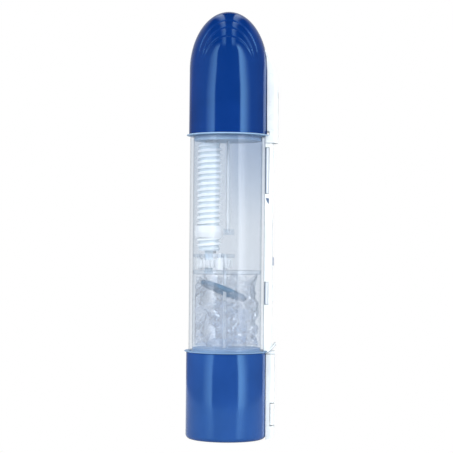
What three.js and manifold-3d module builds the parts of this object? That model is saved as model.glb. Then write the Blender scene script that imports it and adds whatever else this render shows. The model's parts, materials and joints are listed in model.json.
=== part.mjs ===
// Motorized pipette controller, inline form: an upright cylinder that stands on its base.
// Frame: millimetres, +Z up along the body's axis, origin at the middle of the foot pad's underside.
// The control spine runs up the +X side and the battery door is on the +Y side.

import * as THREE from 'three';
import { mergeVertices } from 'three/addons/utils/BufferGeometryUtils.js';
import Module from 'manifold-3d';

const wasm = await Module();
wasm.setup();

// ---- driving dimensions ----

const GAP = 0.3;               // between pieces that touch
const BIG = 32;                // facets round a casing
const MEDIUM = 20;             // facets round an inner turned piece
const SMALL = 10;              // facets round a screw or a shaft

const HEIGHT = 208;            // whole controller
const BASE_TOP = 43;
const BASE_R = 19.5;
const BASE_WALL = 1.8;
const RIM_R = 20.4;            // flange round the top of the base
const RIM_HEIGHT = 1.2;
const BOTTOM_FILLET = 2.2;
const FLOOR_TOP = 3;
const FOOT_R = 14;
const FOOT_THICKNESS = 1;

const BARREL_R = 18.4;
const BARREL_WALL = 1.6;
const BARREL_TOP = 146.8;

const CAP_BOTTOM = 148.3;
const CAP_R = 19;
const CAP_WALL = 1.7;
const BEAD_R = 20.2;           // bead round the mouth of the cap
const BEAD_HEIGHT = 1;
const DOME_HEIGHT = 28.5;

const SPINE_HALF_WIDTH = 4.6;
const SPINE_CORNER = 2.4;
const SPINE_WALL = 0.9;
const BASE_SPINE_X = 23.6;     // front of the spine on the base, on the barrel and on the cap
const BARREL_SPINE_X = 22.1;
const CAP_SPINE_X = 24.4;
const CAP_SPINE_BOTTOM = 144;
const CAP_SPINE_TOP = 193;

const SCREW_X = -8.9;          // lead screw
const SCREW_R = 5.9;
const SCREW_ROOT_R = 4.9;
const SCREW_PITCH = 2.68;
const THREAD_BOTTOM = 91.5;
const THREAD_TOP = 143.6;
const JOURNAL_R = 2;

const SHAFT_X = -1;            // drive shaft, on y = 0
const SHAFT_R = 0.8;
const TOP_MODULE = 0.6;        // gears between the drive shaft and the lead screw
const TOP_PINION_TEETH = 10;
const SCREW_GEAR_TEETH = 18;
const MOTOR_MODULE = 0.5;      // gears between the motor and the drive shaft
const MOTOR_PINION_TEETH = 10;
const WHEEL_TEETH = 30;
const WHEEL_BOTTOM = 34.6;
const WHEEL_TOP = 38.2;
const TOP_GEAR_BOTTOM = 83.2;
const TOP_GEAR_TOP = 87.2;
const MOTOR_ANGLE = -Math.PI / 6;   // of the motor, seen from the drive shaft
const MOTOR_R = 6;
const BACKLASH = 0.16;

const BATTERY_Y = 8.6;
const BATTERY_R = 7.8;
const BATTERY_BOTTOM = 4.2;
const BATTERY_TOP = 31;
const PLATE_BOTTOM = 32.2;     // gearbox plate
const PLATE_TOP = 33.8;
const BULKHEAD_BOTTOM = 80;
const BULKHEAD_TOP = 82;
const BEARING_BOTTOM = 88.2;
const BEARING_TOP = 89.8;

const NUT_BOTTOM = 97.7;
const NUT_TOP = 103.5;
const NUT_R = 7;
const GUIDE = [-7, 9.5];       // guide rod, behind the lead screw
const GUIDE_R = 1.5;
const ARM_BOTTOM = 99.2;       // carriage arm
const ARM_TOP = 102;
const PISTON_ROD_R = 0.7;
const PISTON_STROKE = 27;
const CYLINDER_BORE_R = 10.4;
const CYLINDER_WALL = 1.2;
const CYLINDER_BOTTOM = 151.3;
const RECESS_FLOOR = 149;      // of the flange, under the air cylinder
const PISTON_BOTTOM = 152.8;
const PISTON_TOP = 157.8;
const GROOVE = [154.4, 156.2]; // lowest and highest z of the piston ring's groove
const NECK_R = 7.2;
const NECK_TOP = 190.5;
const NOSE_TOP = 203.5;
const FILTER_TOP = 194.8;
const ADAPTER_SHOULDER = 197.9;
const FLOOR_FLANGE_BOTTOM = 40.6;      // chamber floor
const FLOOR_FLANGE_TOP = BASE_TOP + 1.4;

const DOOR_BOTTOM = 7.2;       // battery door, with its hinge below
const DOOR_TOP = 33;
const DOOR_HALF_ANGLE = Math.PI * 33 / 180;
const DOOR_PIN = [18.2, 5.9];  // y and z of its hinge
const FLAP_BOTTOM = 7.3;       // charging flap on the spine of the base
const FLAP_TOP = 17.7;

const LONG_BUTTON = [119.2, 141.8];    // lowest and highest z of each button's seal
const SHORT_BUTTON = [65.5, 76.7];
const KNOB_BOTTOM = 84.5;
const KNOB_LENGTH = 4;
const KNOB_TRAVEL = 4;
const LIGHT_Z = 108;
const SWITCH_X = 19.2;         // back of the switches on the control strip

// ---- positions worked out from them ----

const DOME_BOTTOM = HEIGHT - DOME_HEIGHT;
const BASE_BORE_R = BASE_R - BASE_WALL;
const BARREL_BORE_R = BARREL_R - BARREL_WALL;
const topCentres = TOP_MODULE * (TOP_PINION_TEETH + SCREW_GEAR_TEETH) / 2;
const SCREW_Y = -Math.sqrt(topCentres ** 2 - (SCREW_X - SHAFT_X) ** 2);
const motorCentres = MOTOR_MODULE * (MOTOR_PINION_TEETH + WHEEL_TEETH) / 2;
const MOTOR_X = SHAFT_X + motorCentres * Math.cos(MOTOR_ANGLE);
const MOTOR_Y = motorCentres * Math.sin(MOTOR_ANGLE);
const BOSS_CIRCLE_R = 15.2;
const BOSS_PLACES = [24, 176, 246].map((degrees) => {
  const angle = degrees * Math.PI / 180;
  return [BOSS_CIRCLE_R * Math.cos(angle), BOSS_CIRCLE_R * Math.sin(angle)];
});

// ---- materials ----

function finish(color, roughness, metalness = 0, opacity = 1) {
  return new THREE.MeshStandardMaterial({
    color, roughness, metalness, opacity, transparent: opacity < 1,
  });
}

const BLUE = finish(0x1b4590, 0.25);
const BLUE_GREY = finish(0x7c98b8, 0.4);
const CLEAR = finish(0xdfe9f2, 0.08, 0, 0.3);
const PALE = finish(0xeff4fb, 0.3);
const WHITE = finish(0xf2f4f6, 0.4);
const SLATE = finish(0x4a5c74, 0.7);
const RUBBER = finish(0x26282c, 0.8);
const SILICONE = finish(0x7f93b4, 0.6);
const STEEL = finish(0xb9bcc0, 0.3, 1);
const BRASS = finish(0xc9a75a, 0.35, 1);
const FILM = finish(0xe8f0f6, 0.2, 0, 0.3);
const CIRCUIT = finish(0x1f5a3c, 0.5);

// ---- geometry helpers ----

// A closed mesh of positions only, with shared vertices and its faces pointing out.
function closed(geometry) {
  const bare = new THREE.BufferGeometry();
  bare.setAttribute('position', geometry.getAttribute('position').clone());
  if (geometry.index) bare.setIndex(geometry.index.clone());
  const merged = mergeVertices(bare, 1e-3);
  const corner = [0, 1, 2].map(() => new THREE.Vector3());
  const kept = [];
  let volume = 0;
  for (let i = 0; i < merged.index.count; i += 3) {
    const ids = [0, 1, 2].map((k) => merged.index.getX(i + k));
    if (ids[0] === ids[1] || ids[1] === ids[2] || ids[2] === ids[0]) continue;
    kept.push(...ids);
    ids.forEach((id, k) => corner[k].fromBufferAttribute(merged.attributes.position, id));
    volume += corner[0].dot(corner[1].cross(corner[2]));
  }
  merged.setIndex(volume < 0 ? kept.reverse() : kept);
  return merged;
}

function toSolid(geometry) {
  const mesh = closed(geometry);
  return new wasm.Manifold(new wasm.Mesh({
    numProp: 3,
    vertProperties: new Float32Array(mesh.attributes.position.array),
    triVerts: new Uint32Array(mesh.index.array),
  }));
}

function toGeometry(solid) {
  const mesh = solid.getMesh();
  const geometry = new THREE.BufferGeometry();
  geometry.setAttribute('position', new THREE.BufferAttribute(mesh.vertProperties, 3));
  geometry.setIndex(new THREE.BufferAttribute(mesh.triVerts, 1));
  return geometry;
}

// Turned about a vertical axis at (x, y), from a profile of [radius, z] points.
function turned(profile, facets = MEDIUM, x = 0, y = 0) {
  const points = profile.map(([r, z]) => new THREE.Vector2(r, z));
  const geometry = new THREE.LatheGeometry(points, facets);
  return toSolid(geometry.rotateX(Math.PI / 2).translate(x, y, 0));
}

function rod(radius, bottom, top, facets = SMALL, x = 0, y = 0) {
  return turned([[0, bottom], [radius, bottom], [radius, top], [0, top]], facets, x, y);
}

function tube(outer, inner, bottom, top, facets = MEDIUM, x = 0, y = 0) {
  const profile = [[inner, bottom], [outer, bottom], [outer, top], [inner, top], [inner, bottom]];
  return turned(profile, facets, x, y);
}

function ring(radius, section, z, facets = MEDIUM) {
  const profile = [];
  for (let i = 0; i <= 6; i += 1) {
    const angle = i * Math.PI / 3;
    profile.push([radius + section * Math.cos(angle), z + section * Math.sin(angle)]);
  }
  return turned(profile, facets);
}

function block(x0, x1, y0, y1, z0, z1) {
  const geometry = new THREE.BoxGeometry(x1 - x0, y1 - y0, z1 - z0);
  return toSolid(geometry.translate((x0 + x1) / 2, (y0 + y1) / 2, (z0 + z1) / 2));
}

function prism(shape, bottom, top, curveSegments = 6) {
  const options = { depth: top - bottom, bevelEnabled: false, curveSegments };
  return toSolid(new THREE.ExtrudeGeometry(shape, options).translate(0, 0, bottom));
}

// A shape drawn in (x, z), as deep as the spine is wide.
function sideways(shape, halfWidth) {
  const options = { depth: 2 * halfWidth, bevelEnabled: false, curveSegments: 6 };
  const geometry = new THREE.ExtrudeGeometry(shape, options);
  return toSolid(geometry.rotateX(Math.PI / 2).translate(0, halfWidth, 0));
}

function rodAlongX(radius, x0, x1, y, z) {
  const geometry = new THREE.CylinderGeometry(radius, radius, x1 - x0, SMALL);
  return toSolid(geometry.rotateZ(Math.PI / 2).translate((x0 + x1) / 2, y, z));
}

// ---- gears and thread ----

function involute(angle) {
  return Math.tan(angle) - angle;
}

// A spur gear's outline, with one tooth's middle at the angle phase.
function gearShape(teeth, module, phase) {
  const pressure = Math.PI / 9;
  const pitchR = teeth * module / 2;
  const baseR = pitchR * Math.cos(pressure);
  const tipR = pitchR + 0.85 * module;
  const rootR = pitchR - 1.15 * module;
  const halfTooth = (Math.PI * module / 2 - BACKLASH) / (2 * pitchR);
  const flank = [0, 0.6, 1].map((t) => {
    const r = Math.max(baseR, rootR) + t * (tipR - Math.max(baseR, rootR));
    const roll = Math.acos(Math.min(1, baseR / r));
    return [r, halfTooth + involute(pressure) - involute(roll)];
  });
  const side = [[rootR, flank[0][1] * 1.15], ...flank];
  const outline = [];
  for (let tooth = 0; tooth < teeth; tooth += 1) {
    const middle = phase + tooth * 2 * Math.PI / teeth;
    const rising = side.map(([r, a]) => [r, middle - a]);
    const falling = side.map(([r, a]) => [r, middle + a]).reverse();
    for (const [r, a] of [...rising, ...falling]) {
      outline.push(new THREE.Vector2(r * Math.cos(a), r * Math.sin(a)));
    }
  }
  return new THREE.Shape(outline);
}

function gear(teeth, module, phase, x, y, bottom, top, boreR) {
  const wheel = prism(gearShape(teeth, module, phase), bottom, top).translate([x, y, 0]);
  if (boreR === 0) return wheel;
  return wheel.subtract(rod(boreR, bottom - 1, top + 1, SMALL, x, y));
}

// A right-hand thread as one helical skin, longer than needed, then cut to length.
function threadedRod(x, y, bottom, top) {
  const columns = 10;
  const profile = [[0, SCREW_ROOT_R], [0.14, SCREW_R], [0.58, SCREW_R], [0.72, SCREW_ROOT_R]];
  const rows = profile.length * (Math.ceil((top - bottom) / SCREW_PITCH) + 3);
  const positions = [];
  for (let row = 0; row <= rows; row += 1) {
    const [share, radius] = profile[row % profile.length];
    const turn = Math.floor(row / profile.length) + share;
    for (let column = 0; column < columns; column += 1) {
      const angle = column * 2 * Math.PI / columns;
      const z = bottom - 2 * SCREW_PITCH + (turn + column / columns) * SCREW_PITCH;
      positions.push(x + radius * Math.cos(angle), y + radius * Math.sin(angle), z);
    }
  }
  const at = (row, column) => (column < columns
    ? row * columns + column
    : (row + profile.length) * columns);
  const last = rows - profile.length;
  const index = [];
  for (let row = 0; row < last; row += 1) {
    for (let column = 0; column < columns; column += 1) {
      const [a, b] = [at(row, column), at(row, column + 1)];
      const [c, d] = [at(row + 1, column + 1), at(row + 1, column)];
      index.push(a, b, c, a, c, d);
    }
  }
  const axisPoint = positions.length / 3;
  positions.push(x, y, bottom - 2 * SCREW_PITCH);
  positions.push(x, y, bottom + (last / profile.length - 1) * SCREW_PITCH);
  for (const [row, centre, flip] of [[0, axisPoint, true], [last, axisPoint + 1, false]]) {
    const loop = [];
    for (let column = 0; column < columns; column += 1) loop.push(at(row, column));
    for (let step = profile.length; step > 0; step -= 1) loop.push(at(row + step, 0));
    loop.forEach((from, i) => {
      const to = loop[(i + 1) % loop.length];
      index.push(...(flip ? [to, from, centre] : [from, to, centre]));
    });
  }
  const geometry = new THREE.BufferGeometry();
  geometry.setAttribute('position', new THREE.Float32BufferAttribute(positions, 3));
  geometry.setIndex(index);
  return toSolid(geometry).intersect(rod(SCREW_R + 1, bottom, top, MEDIUM, x, y));
}

// ---- outlines of the spine ----

// The spine's cross-section, from inside the body out to its front at x = front.
function spineOutline(front, halfWidth, corner = SPINE_CORNER) {
  const shape = new THREE.Shape();
  shape.moveTo(10, -halfWidth);
  shape.lineTo(front - corner, -halfWidth);
  shape.absarc(front - corner, corner - halfWidth, corner, -Math.PI / 2, 0);
  shape.absarc(front - corner, halfWidth - corner, corner, 0, Math.PI / 2);
  shape.lineTo(10, halfWidth);
  shape.closePath();
  return shape;
}

function spineChannel(front, wall, bottom, top) {
  return prism(spineOutline(front - wall, SPINE_HALF_WIDTH - wall, 1), bottom, top, 3);
}

// The side view of the cap's spine: straight up the skirt, then leaning in over the dome.
function capSpineSide(inset) {
  const front = CAP_SPINE_X - inset;
  const shape = new THREE.Shape();
  shape.moveTo(10, CAP_SPINE_BOTTOM - 1);
  shape.lineTo(front, CAP_SPINE_BOTTOM - 1);
  shape.lineTo(front, DOME_BOTTOM - 12);
  shape.bezierCurveTo(front - 0.4, DOME_BOTTOM - 4, front - 2.6, DOME_BOTTOM + 3,
    15.4 - inset, CAP_SPINE_TOP - inset);
  shape.lineTo(10, CAP_SPINE_TOP - inset);
  shape.closePath();
  return shape;
}

// The side view of the base's spine, with its lower corner rounded.
function baseSpineSide() {
  const corner = 4;
  const shape = new THREE.Shape();
  shape.moveTo(10, 0.4);
  shape.lineTo(BASE_SPINE_X - corner, 0.4);
  shape.absarc(BASE_SPINE_X - corner, 0.4 + corner, corner, -Math.PI / 2, 0);
  shape.lineTo(BASE_SPINE_X, BASE_TOP);
  shape.lineTo(10, BASE_TOP);
  shape.closePath();
  return shape;
}

// ---- base ----

function footPad() {
  return rod(FOOT_R, 0, FOOT_THICKNESS, BIG);
}

// A triangle from the axis out past the wall on the door's side.
function doorWedge(halfAngle) {
  const reach = 30;
  const across = reach * Math.sin(halfAngle);
  const out = reach * Math.cos(halfAngle);
  return new THREE.Shape([[0, 0], [across, out], [-across, out]].map(
    ([x, y]) => new THREE.Vector2(x, y),
  ));
}

function doorOpening() {
  const wedge = doorWedge(DOOR_HALF_ANGLE + GAP / BASE_R);
  const tab = block(-3.7, 3.7, 12, 22, DOOR_PIN[1] - 1.6, DOOR_BOTTOM);
  return prism(wedge, DOOR_BOTTOM - GAP, DOOR_TOP + GAP).add(tab);
}

function baseCup() {
  const underside = 0.3;
  const fillet = [];
  for (let i = 0; i <= 4; i += 1) {
    const angle = i * Math.PI / 8;
    fillet.push([
      BASE_R - BOTTOM_FILLET * (1 - Math.sin(angle)),
      underside + BOTTOM_FILLET * (1 - Math.cos(angle)),
    ]);
  }
  let cup = turned([
    [0, FOOT_THICKNESS + GAP],
    [FOOT_R + GAP, FOOT_THICKNESS + GAP],
    [FOOT_R + GAP, underside],
    ...fillet,
    [BASE_R, BASE_TOP - RIM_HEIGHT],
    [RIM_R, BASE_TOP - RIM_HEIGHT],
    [RIM_R, BASE_TOP],
    [BASE_BORE_R, BASE_TOP],
    [BASE_BORE_R, FLOOR_TOP],
    [0, FLOOR_TOP],
  ], BIG);
  const grown = spineOutline(BASE_SPINE_X + 0.5, SPINE_HALF_WIDTH + 0.5);
  const collar = prism(grown, BASE_TOP - RIM_HEIGHT, BASE_TOP);
  cup = cup.add(collar.subtract(rod(BASE_R - 0.5, 0, HEIGHT, BIG)));
  for (const [x, y] of BOSS_PLACES) {
    cup = cup.add(rod(2.6, FLOOR_TOP - 0.5, PLATE_BOTTOM - GAP, SMALL, x, y));
    cup = cup.subtract(rod(1.2, PLATE_BOTTOM - 9, PLATE_BOTTOM + 1, SMALL, x, y));
  }
  const pinHole = rodAlongX(0.75, -6, 6, DOOR_PIN[0], DOOR_PIN[1]);
  const wireHole = rodAlongX(1.3, 15, 21, 0, 26);
  const collarHole = rod(1.3, BASE_TOP - 3, BASE_TOP + 1, SMALL, 20.6);
  return cup.subtract(doorOpening()).subtract(pinHole).subtract(wireHole).subtract(collarHole);
}

function batteryDoor() {
  const wedge = doorWedge(DOOR_HALF_ANGLE);
  const [pinY, pinZ] = DOOR_PIN;
  const skin = tube(BASE_R, BASE_BORE_R + 0.2, pinZ, DOOR_TOP, BIG);
  const panel = skin.intersect(prism(wedge, DOOR_BOTTOM, DOOR_TOP));
  const tab = skin.intersect(block(-3.3, 3.3, 10, 22, pinZ, DOOR_BOTTOM + 1));
  const knuckle = rodAlongX(1.2, -3.3, 3.3, pinY, pinZ);
  const nailNotch = rodAlongX(1.2, -4, 4, BASE_R + 0.5, DOOR_TOP - 3);
  return panel.add(tab).add(knuckle).subtract(rodAlongX(0.75, -6, 6, pinY, pinZ))
    .subtract(nailNotch);
}

function doorPin() {
  return rodAlongX(0.45, -4.9, 4.9, DOOR_PIN[0], DOOR_PIN[1]);
}

function batteryCell() {
  return turned([
    [0, BATTERY_BOTTOM], [BATTERY_R, BATTERY_BOTTOM], [BATTERY_R, BATTERY_TOP - 0.8],
    [2.5, BATTERY_TOP - 0.8], [2.5, BATTERY_TOP], [0, BATTERY_TOP],
  ], MEDIUM, 0, BATTERY_Y);
}

function contactSpring() {
  const profile = [[0, 3.3], [4.5, 3.3], [4.5, 3.5], [2.5, 3.9], [0, 3.9]];
  return turned(profile, SMALL, 0, BATTERY_Y);
}

function contactPlate() {
  return rod(3, BATTERY_TOP + GAP, PLATE_BOTTOM - GAP, SMALL, 0, BATTERY_Y);
}

function motorScrewPlaces() {
  const across = MOTOR_ANGLE + Math.PI / 2;
  return [4.4, -4.4].map((d) => [MOTOR_X + d * Math.cos(across), MOTOR_Y + d * Math.sin(across)]);
}

function driveMotor() {
  const bottom = 8.3;
  let motor = turned([
    [0, bottom], [MOTOR_R - 0.5, bottom], [MOTOR_R, bottom + 0.6],
    [MOTOR_R, PLATE_BOTTOM - GAP], [0, PLATE_BOTTOM - GAP],
  ], MEDIUM, MOTOR_X, MOTOR_Y);
  for (const [x, y] of motorScrewPlaces()) {
    motor = motor.subtract(rod(0.8, PLATE_BOTTOM - 3, PLATE_BOTTOM, SMALL, x, y));
  }
  return motor;
}

function motorEndBell() {
  return turned([
    [0, 4.6], [2, 4.6], [2, 5.4], [5, 5.4], [5.4, 6], [5.4, 8], [0, 8],
  ], MEDIUM, MOTOR_X, MOTOR_Y);
}

function gearboxPlate() {
  let plate = rod(BASE_BORE_R - 0.4, PLATE_BOTTOM, PLATE_TOP, BIG);
  const holes = [[MOTOR_X, MOTOR_Y, 1.5], [SHAFT_X, 0, SHAFT_R + GAP]];
  for (const [x, y] of BOSS_PLACES) holes.push([x, y, 1.2]);
  for (const [x, y] of motorScrewPlaces()) holes.push([x, y, 0.8]);
  for (const [x, y, r] of holes) {
    plate = plate.subtract(rod(r, PLATE_BOTTOM - 1, PLATE_TOP + 1, SMALL, x, y));
  }
  return plate;
}

function screwFastener(x, y, seat, headR, shankR, shankLength) {
  const headHeight = headR * 0.7;
  return turned([
    [0, seat - shankLength], [shankR, seat - shankLength], [shankR, seat],
    [headR, seat], [headR, seat + headHeight], [0, seat + headHeight],
  ], SMALL, x, y);
}

function motorPinion() {
  const phase = MOTOR_ANGLE + Math.PI;
  const teeth = gear(MOTOR_PINION_TEETH, MOTOR_MODULE, phase, MOTOR_X, MOTOR_Y,
    WHEEL_BOTTOM, WHEEL_TOP, 0);
  return teeth.add(rod(0.75, PLATE_BOTTOM + 0.1, WHEEL_TOP + 0.7, SMALL, MOTOR_X, MOTOR_Y));
}

function shaftWheel() {
  const phase = MOTOR_ANGLE + Math.PI / WHEEL_TEETH;
  return gear(WHEEL_TEETH, MOTOR_MODULE, phase, SHAFT_X, 0, WHEEL_BOTTOM, WHEEL_TOP,
    SHAFT_R + GAP);
}

// The floor of the barrel, which also centres the barrel on the base.
function chamberFloor() {
  const floor = turned([
    [0, FLOOR_FLANGE_BOTTOM], [BASE_BORE_R - GAP, FLOOR_FLANGE_BOTTOM],
    [BASE_BORE_R - GAP, BASE_TOP], [BARREL_BORE_R - GAP, BASE_TOP],
    [BARREL_BORE_R - GAP, FLOOR_FLANGE_TOP], [0, FLOOR_FLANGE_TOP],
  ], BIG);
  const [below, above] = [FLOOR_FLANGE_BOTTOM - 1, FLOOR_FLANGE_TOP + 1];
  return floor.subtract(rod(SHAFT_R + GAP, below, above, SMALL, SHAFT_X));
}

// ---- barrel and drive ----

function clearBarrel() {
  return tube(BARREL_R, BARREL_BORE_R, BASE_TOP + GAP, BARREL_TOP, BIG);
}

function driveShaft() {
  return rod(SHAFT_R, PLATE_BOTTOM + GAP, BEARING_TOP - 0.2, SMALL, SHAFT_X);
}

function bulkhead() {
  const disc = rod(BARREL_BORE_R - GAP, BULKHEAD_BOTTOM, BULKHEAD_TOP, BIG);
  const [below, above] = [BULKHEAD_BOTTOM - 1, BULKHEAD_TOP + 1];
  const shaftHole = rod(SHAFT_R + GAP, below, above, SMALL, SHAFT_X);
  const screwHole = rod(JOURNAL_R + GAP, below, above, SMALL, SCREW_X, SCREW_Y);
  return disc.subtract(shaftHole).subtract(screwHole);
}

const SPACER_PLACES = [[-3.5, -13.2], [-2, 12.5], [-13.6, 5.5]];

function bearingPlate() {
  const disc = rod(BARREL_BORE_R - GAP, BEARING_BOTTOM, BEARING_TOP, BIG);
  const front = block(3.5, 20, -20, 20, BEARING_BOTTOM - 1, BEARING_TOP + 1);
  let plate = disc.subtract(front);
  const holes = [[SHAFT_X, 0, SHAFT_R + GAP], [SCREW_X, SCREW_Y, JOURNAL_R + GAP]];
  for (const [x, y] of SPACER_PLACES) holes.push([x, y, 1]);
  for (const [x, y, r] of holes) {
    plate = plate.subtract(rod(r, BEARING_BOTTOM - 1, BEARING_TOP + 1, SMALL, x, y));
  }
  return plate;
}

// A post with a thin pin that the bearing plate drops over.
function spacer([x, y]) {
  const shoulder = BEARING_BOTTOM - GAP;
  return turned([
    [0, BULKHEAD_TOP + GAP], [1.7, BULKHEAD_TOP + GAP], [1.7, shoulder],
    [0.7, shoulder], [0.7, BEARING_TOP + 0.4], [0, BEARING_TOP + 0.4],
  ], SMALL, x, y);
}

function topPinion() {
  const towards = Math.atan2(SCREW_Y, SCREW_X - SHAFT_X);
  return gear(TOP_PINION_TEETH, TOP_MODULE, towards, SHAFT_X, 0, TOP_GEAR_BOTTOM, TOP_GEAR_TOP,
    SHAFT_R + GAP);
}

function screwGear() {
  const back = Math.atan2(-SCREW_Y, SHAFT_X - SCREW_X);
  const phase = back + Math.PI / SCREW_GEAR_TEETH;
  return gear(SCREW_GEAR_TEETH, TOP_MODULE, phase, SCREW_X, SCREW_Y,
    TOP_GEAR_BOTTOM, TOP_GEAR_TOP, JOURNAL_R + GAP);
}

function leadScrew() {
  const thread = threadedRod(SCREW_X, SCREW_Y, THREAD_BOTTOM, THREAD_TOP);
  const [bottom, top] = [BULKHEAD_BOTTOM + 0.5, BARREL_TOP + 0.6];
  return thread.add(rod(JOURNAL_R, bottom, top, MEDIUM, SCREW_X, SCREW_Y));
}

// A round nut whose rim comes to an edge, with a plain running bore.
function driveNut() {
  const middle = (NUT_BOTTOM + NUT_TOP) / 2;
  const bore = SCREW_R + 0.25;
  return turned([
    [bore, NUT_BOTTOM], [NUT_R - 0.3, NUT_BOTTOM], [NUT_R, middle],
    [NUT_R - 0.3, NUT_TOP], [bore, NUT_TOP], [bore, NUT_BOTTOM],
  ], MEDIUM, SCREW_X, SCREW_Y);
}

// The arm that joins the nut to the piston rod and runs on the guide rod.
function carriageArm() {
  const hull = wasm.Manifold.hull([
    rod(3, ARM_BOTTOM, ARM_TOP, SMALL, 0.4),
    rod(3, ARM_BOTTOM, ARM_TOP, SMALL, ...GUIDE),
  ]);
  return hull
    .subtract(rod(NUT_R + GAP, ARM_BOTTOM - 1, ARM_TOP + 1, MEDIUM, SCREW_X, SCREW_Y))
    .subtract(rod(PISTON_ROD_R + GAP, ARM_BOTTOM + 0.8, ARM_TOP + 1))
    .subtract(rod(GUIDE_R + GAP, ARM_BOTTOM - 1, ARM_TOP + 1, SMALL, ...GUIDE));
}

function guideRod() {
  return rod(GUIDE_R, BEARING_TOP + GAP, BARREL_TOP - 0.4, SMALL, ...GUIDE);
}

function pistonRod() {
  return rod(PISTON_ROD_R, ARM_BOTTOM + 1, PISTON_TOP - 2.2);
}

function piston() {
  const outerR = CYLINDER_BORE_R - GAP;
  const grooveR = CYLINDER_BORE_R - 1.5;
  const socketR = PISTON_ROD_R + GAP;
  return turned([
    [socketR, PISTON_BOTTOM], [outerR, PISTON_BOTTOM],
    [outerR, GROOVE[0]], [grooveR, GROOVE[0]], [grooveR, GROOVE[1]], [outerR, GROOVE[1]],
    [outerR, PISTON_TOP], [0, PISTON_TOP], [0, PISTON_TOP - 1.9],
    [socketR, PISTON_TOP - 1.9], [socketR, PISTON_BOTTOM],
  ]);
}

function pistonRing() {
  return ring(CYLINDER_BORE_R - 0.77, 0.55, (GROOVE[0] + GROOVE[1]) / 2);
}

// The clear wrap packed round the drive shaft, as a plain solid.
function filmWrap() {
  return tube(BARREL_BORE_R - 0.9, 3.2, FLOOR_FLANGE_TOP + 0.4, 65);
}

// A loose ring lying at a slant above the wrap.
function spareRing() {
  return ring(10.8, 1.3, 0).rotate([-7, 21, 0]).translate([-1.6, 0, 72]);
}

// ---- head ----

function cylinderFlange() {
  const plug = 144.9;
  const [lipR, recessR] = [16.9, 13];
  let flange = turned([
    [0, plug], [BARREL_BORE_R - GAP, plug], [BARREL_BORE_R - GAP, BARREL_TOP + GAP],
    [BARREL_R, BARREL_TOP + GAP], [BARREL_R, CAP_BOTTOM - GAP], [lipR, CAP_BOTTOM - GAP],
    [lipR, CYLINDER_BOTTOM - GAP], [recessR, CYLINDER_BOTTOM - GAP],
    [recessR, RECESS_FLOOR], [0, RECESS_FLOOR],
  ], BIG);
  const holes = [
    [0, 0, PISTON_ROD_R + 0.5],
    [SCREW_X, SCREW_Y, JOURNAL_R + GAP],
    [...GUIDE, GUIDE_R + GAP],
  ];
  for (const [x, y, r] of holes) {
    flange = flange.subtract(rod(r, plug - 1, CYLINDER_BOTTOM, SMALL, x, y));
  }
  return flange;
}

function capGasket() {
  return tube(17.1, 15.2, CYLINDER_BOTTOM, CYLINDER_BOTTOM + 0.9);
}

function airCylinder() {
  const outer = CYLINDER_BORE_R + CYLINDER_WALL;
  const bottom = RECESS_FLOOR + GAP;
  const roof = PISTON_TOP + PISTON_STROKE + 0.4;
  return turned([
    [CYLINDER_BORE_R, bottom], [outer, bottom], [outer, roof + 1.6], [NECK_R, roof + 1.6],
    [NECK_R, NECK_TOP], [1.5, NECK_TOP], [1.5, roof], [CYLINDER_BORE_R, roof],
    [CYLINDER_BORE_R, bottom],
  ]);
}

function noseCone() {
  const bottom = 187.1;
  const skirtR = NECK_R + 0.4;
  const [seatR, seat] = [6.4, NECK_TOP + GAP];
  return turned([
    [skirtR, bottom], [10.5, bottom], [10.5, bottom + 3.4], [6.8, NOSE_TOP - 1], [6.2, NOSE_TOP],
    [4.6, NOSE_TOP], [4.6, ADAPTER_SHOULDER + GAP], [seatR, ADAPTER_SHOULDER + GAP],
    [seatR, seat], [skirtR, seat], [skirtR, bottom],
  ]);
}

function filterHolder() {
  const [bottom, seat] = [NECK_TOP + 0.6, FILTER_TOP - 1.2];
  return turned([
    [1.2, bottom], [6, bottom], [6, FILTER_TOP], [5.3, FILTER_TOP], [5.3, seat],
    [1.2, seat], [1.2, bottom],
  ]);
}

function membraneFilter() {
  return rod(5, FILTER_TOP - 0.9, FILTER_TOP, MEDIUM);
}

function pipetteAdapter() {
  const [bottom, top, boreR] = [FILTER_TOP + 0.4, NOSE_TOP - 0.5, 3.1];
  return turned([
    [boreR, bottom], [6.1, bottom], [6.1, ADAPTER_SHOULDER], [4.3, ADAPTER_SHOULDER],
    [4.3, top], [3.6, top], [boreR, ADAPTER_SHOULDER + 1.1], [boreR, bottom],
  ]);
}

// Outline of the cap's outside, grown outwards by a margin.
function capOutside(margin) {
  const outline = [
    [BEAD_R + margin, CAP_BOTTOM - margin],
    [BEAD_R + margin, CAP_BOTTOM + BEAD_HEIGHT + margin],
    [CAP_R + 0.15 + margin, CAP_BOTTOM + BEAD_HEIGHT + margin],
  ];
  return [...outline, ...domeArc(CAP_R + margin, DOME_HEIGHT + margin)];
}

function domeArc(radius, height) {
  const arc = [];
  const steps = 7;
  for (let i = 0; i <= steps; i += 1) {
    const angle = i * Math.PI / 2 / steps;
    arc.push([radius * Math.cos(angle), DOME_BOTTOM + height * Math.sin(angle)]);
  }
  arc[steps][0] = 0;
  return arc;
}

function domeCap() {
  const inside = domeArc(CAP_R - CAP_WALL, DOME_HEIGHT - CAP_WALL).reverse();
  return turned([...inside, [CAP_R - CAP_WALL, CAP_BOTTOM], ...capOutside(0)], BIG);
}

// ---- spine ----

function capSpine() {
  const outer = prism(spineOutline(CAP_SPINE_X, SPINE_HALF_WIDTH), CAP_SPINE_BOTTOM, HEIGHT)
    .intersect(sideways(capSpineSide(0), 10));
  const inner = spineChannel(CAP_SPINE_X, 1.2, CAP_SPINE_BOTTOM - 1, HEIGHT)
    .intersect(sideways(capSpineSide(1.2), 10));
  const capBody = turned([[0, CAP_BOTTOM - GAP], ...capOutside(GAP)], BIG);
  return outer.subtract(inner).subtract(capBody).subtract(rod(BARREL_R + GAP, 140, 149, BIG));
}

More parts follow.
